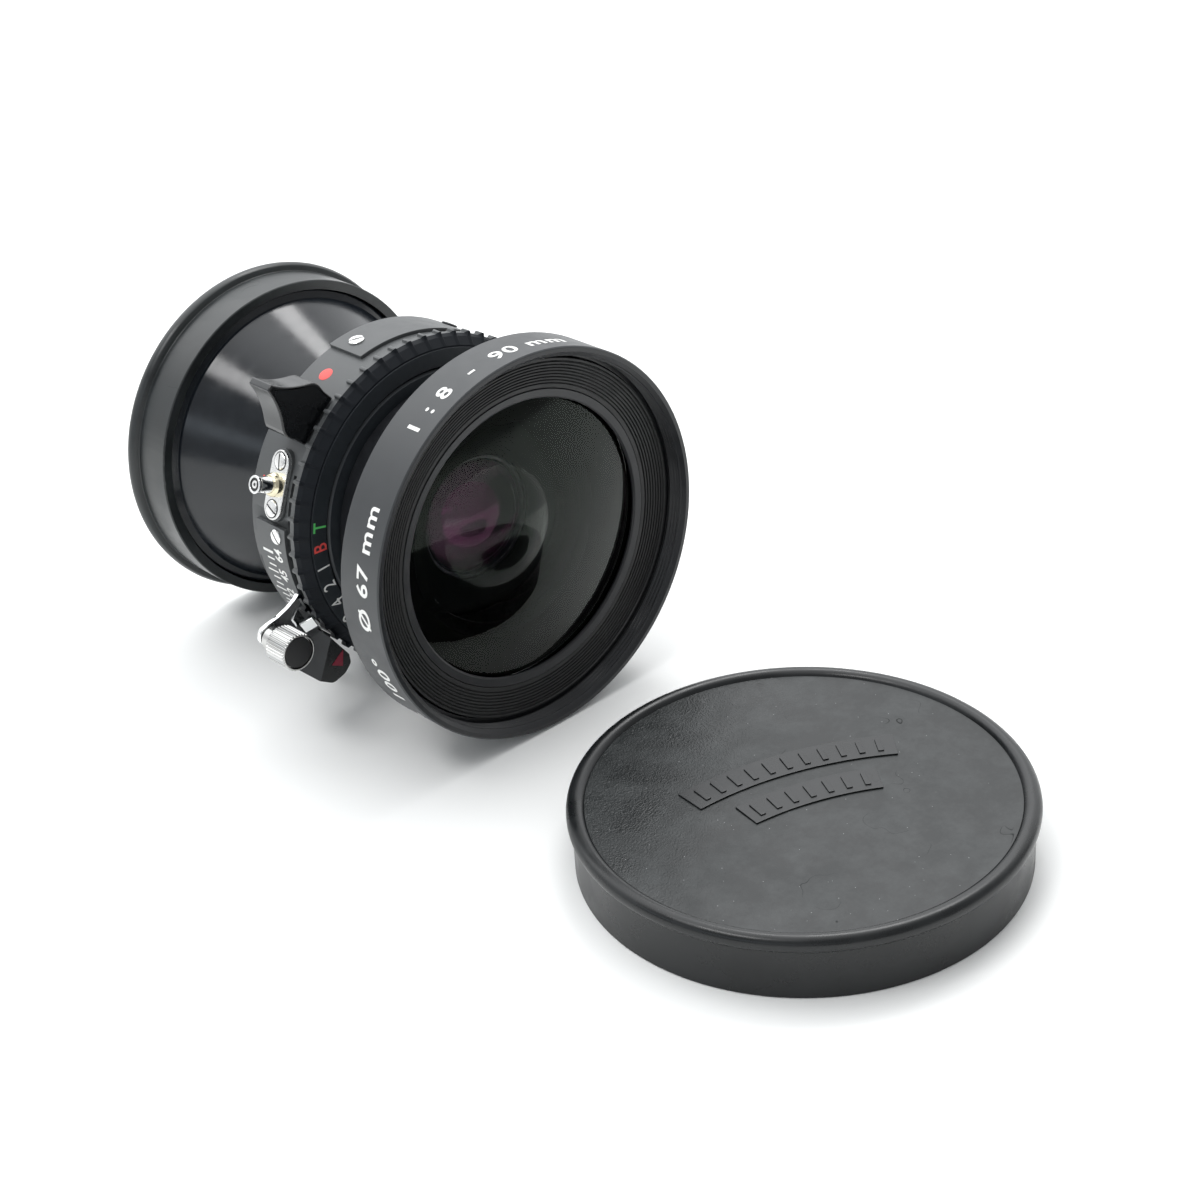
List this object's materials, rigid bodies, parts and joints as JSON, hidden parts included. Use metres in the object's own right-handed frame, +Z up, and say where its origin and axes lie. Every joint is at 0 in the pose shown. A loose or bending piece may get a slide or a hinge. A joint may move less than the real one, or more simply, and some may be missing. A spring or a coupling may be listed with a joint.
{
  "type": "view camera lens in a leaf shutter",
  "caption": "Wide-angle large-format lens in a leaf shutter with levers, speed ring, flash terminal and push-on front and rear caps.",
  "frame": {"origin": "middle of the bottom of the whole set as it lies on the table: the lens on its side and its front cap flat in front of it", "axes": "+Z up; the optical axis lies in the YZ plane, the front glass looks to -Y and 2.4 degrees up; +X is to the right of the lens seen from the front"},
  "size_m": [0.0798, 0.1782, 0.0704],
  "materials": {
    "satin_black_barrel": "satin black anodised aluminium with fine turned lines",
    "matt_black_inside": "matt black anodised, grooved against stray light",
    "coated_glass": "polished optical glass, single-layer magenta and amber coatings",
    "grey_housing": "fine bead-blasted dark grey anodised aluminium",
    "blade_steel": "thin dark blued steel",
    "iris_black": "thin steel leaves, matt black",
    "brass_parts": "plain turned brass",
    "black_plastic": "moulded black plastic, satin, polished on worn edges",
    "bright_chrome": "satin chrome plate, knurled where it is gripped",
    "gloss_black_barrel": "glossy black anodised aluminium with turning lines",
    "cap_plastic": "black moulded plastic, smooth skirt and rim, leather grain on the top"
  },
  "bodies": {
    "lens": {"front_barrel": "satin_black_barrel", "baffle_ring": "matt_black_inside", "front_retaining_ring": "satin_black_barrel", "front_meniscus": "coated_glass", "front_spacer": "matt_black_inside", "front_doublet_outer": "coated_glass", "front_doublet_inner": "coated_glass", "front_cell_retainer": "matt_black_inside", "speed_ring_retainer": "satin_black_barrel", "shutter_housing": "grey_housing", "shutter_front_plate": "satin_black_barrel", "blade_carrier": "blade_steel", "top_plate": "grey_housing", "aperture_scale_plate": "grey_housing", "top_plate_screw_left": "bright_chrome", "top_plate_screw_right": "bright_chrome", "scale_plate_screw": "bright_chrome", "retard_wheel_large": "brass_parts", "retard_wheel_small": "brass_parts", "sync_spacer": "black_plastic", "sync_plate": "bright_chrome", "sync_boss": "brass_parts", "sync_barrel": "bright_chrome", "sync_insulator": "black_plastic", "sync_contact": "blade_steel", "sync_screw_lower": "bright_chrome", "sync_screw_upper": "bright_chrome", "cable_release_socket": "bright_chrome", "rear_barrel": "gloss_black_barrel", "rear_cell_retainer": "matt_black_inside", "rear_doublet_inner": "coated_glass", "rear_doublet_outer": "coated_glass", "rear_spacer": "matt_black_inside", "rear_meniscus": "coated_glass", "rear_retaining_ring": "satin_black_barrel", "mounting_nut": "satin_black_barrel"},
    "speed_ring": {"speed_ring": "satin_black_barrel"},
    "focus_lever": {"focus_lever": "black_plastic"},
    "cocking_lever": {"cocking_lever": "bright_chrome", "cocking_knob": "bright_chrome", "cocking_knob_insert": "black_plastic"},
    "release_lever": {"release_lever": "bright_chrome", "release_tip": "black_plastic"},
    "aperture_lever": {"aperture_lever": "satin_black_barrel"},
    "rear_cap": {"rear_cap": "cap_plastic"},
    "front_cap": {"front_cap": "cap_plastic"},
    "shutter_blade_1": {"shutter_blade_1": "blade_steel"},
    "shutter_blade_2": {"shutter_blade_2": "blade_steel"},
    "shutter_blade_3": {"shutter_blade_3": "blade_steel"},
    "shutter_blade_4": {"shutter_blade_4": "blade_steel"},
    "shutter_blade_5": {"shutter_blade_5": "blade_steel"},
    "iris_blade_1": {"iris_blade_1": "iris_black"},
    "iris_blade_2": {"iris_blade_2": "iris_black"},
    "iris_blade_3": {"iris_blade_3": "iris_black"},
    "iris_blade_4": {"iris_blade_4": "iris_black"},
    "iris_blade_5": {"iris_blade_5": "iris_black"},
    "iris_blade_6": {"iris_blade_6": "iris_black"},
    "iris_blade_7": {"iris_blade_7": "iris_black"}
  },
  "joints": [
    {"name": "speed_setting", "type": "hinge", "parent": "lens", "child": "speed_ring", "pos_m": [-0.00022, 0.03667, 0.03414], "axis": [0, 0.9991, -0.0425], "range_deg": [-66.5, 24.9]},
    {"name": "focus_lever_swing", "type": "hinge", "parent": "lens", "child": "focus_lever", "pos_m": [-0.00022, 0.04216, 0.03391], "axis": [0, 0.9991, -0.0425], "range_deg": [0, 14]},
    {"name": "cocking_swing", "type": "hinge", "parent": "lens", "child": "cocking_lever", "pos_m": [-0.00022, 0.03996, 0.034], "axis": [0, 0.9991, -0.0425], "range_deg": [0, 40]},
    {"name": "release_press", "type": "hinge", "parent": "lens", "child": "release_lever", "pos_m": [-0.00022, 0.03886, 0.03405], "axis": [0, 0.9991, -0.0425], "range_deg": [-12, 0], "stiffness_Nm_per_rad": 0.05, "springref_deg": 5.73},
    {"name": "aperture_setting", "type": "hinge", "parent": "lens", "child": "aperture_lever", "pos_m": [-0.00022, 0.04936, 0.0336], "axis": [0, 0.9991, -0.0425], "range_deg": [0, 46.5]},
    {"name": "rear_cap_pull", "type": "slide", "parent": "lens", "child": "rear_cap", "axis": [0, 0.9991, -0.0425], "range_m": [0, 0.03]},
    {"name": "front_cap_lift", "type": "slide", "parent": "lens", "child": "front_cap", "axis": [0, 0, 1], "range_m": [0, 0.05]},
    {"name": "shutter_blade_1_turn", "type": "hinge", "parent": "lens", "child": "shutter_blade_1", "pos_m": [-0.00022, 0.04141, 0.05146], "axis": [0, 0.9991, -0.0425], "range_deg": [0, 45]},
    {"name": "shutter_blade_2_turn", "type": "hinge", "parent": "lens", "child": "shutter_blade_2", "pos_m": [0.01642, 0.04124, 0.03936], "axis": [0, 0.9991, -0.0425], "range_deg": [0, 45]},
    {"name": "shutter_blade_3_turn", "type": "hinge", "parent": "lens", "child": "shutter_blade_3", "pos_m": [0.01007, 0.04076, 0.0198], "axis": [0, 0.9991, -0.0425], "range_deg": [0, 45]},
    {"name": "shutter_blade_4_turn", "type": "hinge", "parent": "lens", "child": "shutter_blade_4", "pos_m": [-0.01051, 0.04111, 0.01978], "axis": [0, 0.9991, -0.0425], "range_deg": [0, 45]},
    {"name": "shutter_blade_5_turn", "type": "hinge", "parent": "lens", "child": "shutter_blade_5", "pos_m": [-0.01686, 0.04229, 0.03932], "axis": [0, 0.9991, -0.0425], "range_deg": [0, 45]},
    {"name": "iris_blade_1_turn", "type": "hinge", "parent": "lens", "child": "iris_blade_1", "pos_m": [-0.00022, 0.04418, 0.05084], "axis": [0, 0.9991, -0.0425], "range_deg": [0, 18.2]},
    {"name": "iris_blade_2_turn", "type": "hinge", "parent": "lens", "child": "iris_blade_2", "pos_m": [0.01307, 0.04431, 0.04443], "axis": [0, 0.9991, -0.0425], "range_deg": [0, 18.2]},
    {"name": "iris_blade_3_turn", "type": "hinge", "parent": "lens", "child": "iris_blade_3", "pos_m": [0.01635, 0.0441, 0.03004], "axis": [0, 0.9991, -0.0425], "range_deg": [0, 18.2]},
    {"name": "iris_blade_4_turn", "type": "hinge", "parent": "lens", "child": "iris_blade_4", "pos_m": [0.00716, 0.04401, 0.0185], "axis": [0, 0.9991, -0.0425], "range_deg": [0, 18.2]},
    {"name": "iris_blade_5_turn", "type": "hinge", "parent": "lens", "child": "iris_blade_5", "pos_m": [-0.0076, 0.04441, 0.01848], "axis": [0, 0.9991, -0.0425], "range_deg": [0, 18.2]},
    {"name": "iris_blade_6_turn", "type": "hinge", "parent": "lens", "child": "iris_blade_6", "pos_m": [-0.01679, 0.0453, 0.02999], "axis": [0, 0.9991, -0.0425], "range_deg": [0, 18.2]},
    {"name": "iris_blade_7_turn", "type": "hinge", "parent": "lens", "child": "iris_blade_7", "pos_m": [-0.01351, 0.04631, 0.04434], "axis": [0, 0.9991, -0.0425], "range_deg": [0, 18.2]}
  ],
  "couplings": [
    {"joint": "shutter_blade_1_turn", "follows": "focus_lever_swing", "ratio": 3.2},
    {"joint": "shutter_blade_2_turn", "follows": "focus_lever_swing", "ratio": 3.2},
    {"joint": "shutter_blade_3_turn", "follows": "focus_lever_swing", "ratio": 3.2},
    {"joint": "shutter_blade_4_turn", "follows": "focus_lever_swing", "ratio": 3.2},
    {"joint": "shutter_blade_5_turn", "follows": "focus_lever_swing", "ratio": 3.2},
    {"joint": "iris_blade_1_turn", "follows": "aperture_setting", "ratio": 0.39},
    {"joint": "iris_blade_2_turn", "follows": "aperture_setting", "ratio": 0.39},
    {"joint": "iris_blade_3_turn", "follows": "aperture_setting", "ratio": 0.39},
    {"joint": "iris_blade_4_turn", "follows": "aperture_setting", "ratio": 0.39},
    {"joint": "iris_blade_5_turn", "follows": "aperture_setting", "ratio": 0.39},
    {"joint": "iris_blade_6_turn", "follows": "aperture_setting", "ratio": 0.39},
    {"joint": "iris_blade_7_turn", "follows": "aperture_setting", "ratio": 0.39}
  ]
}
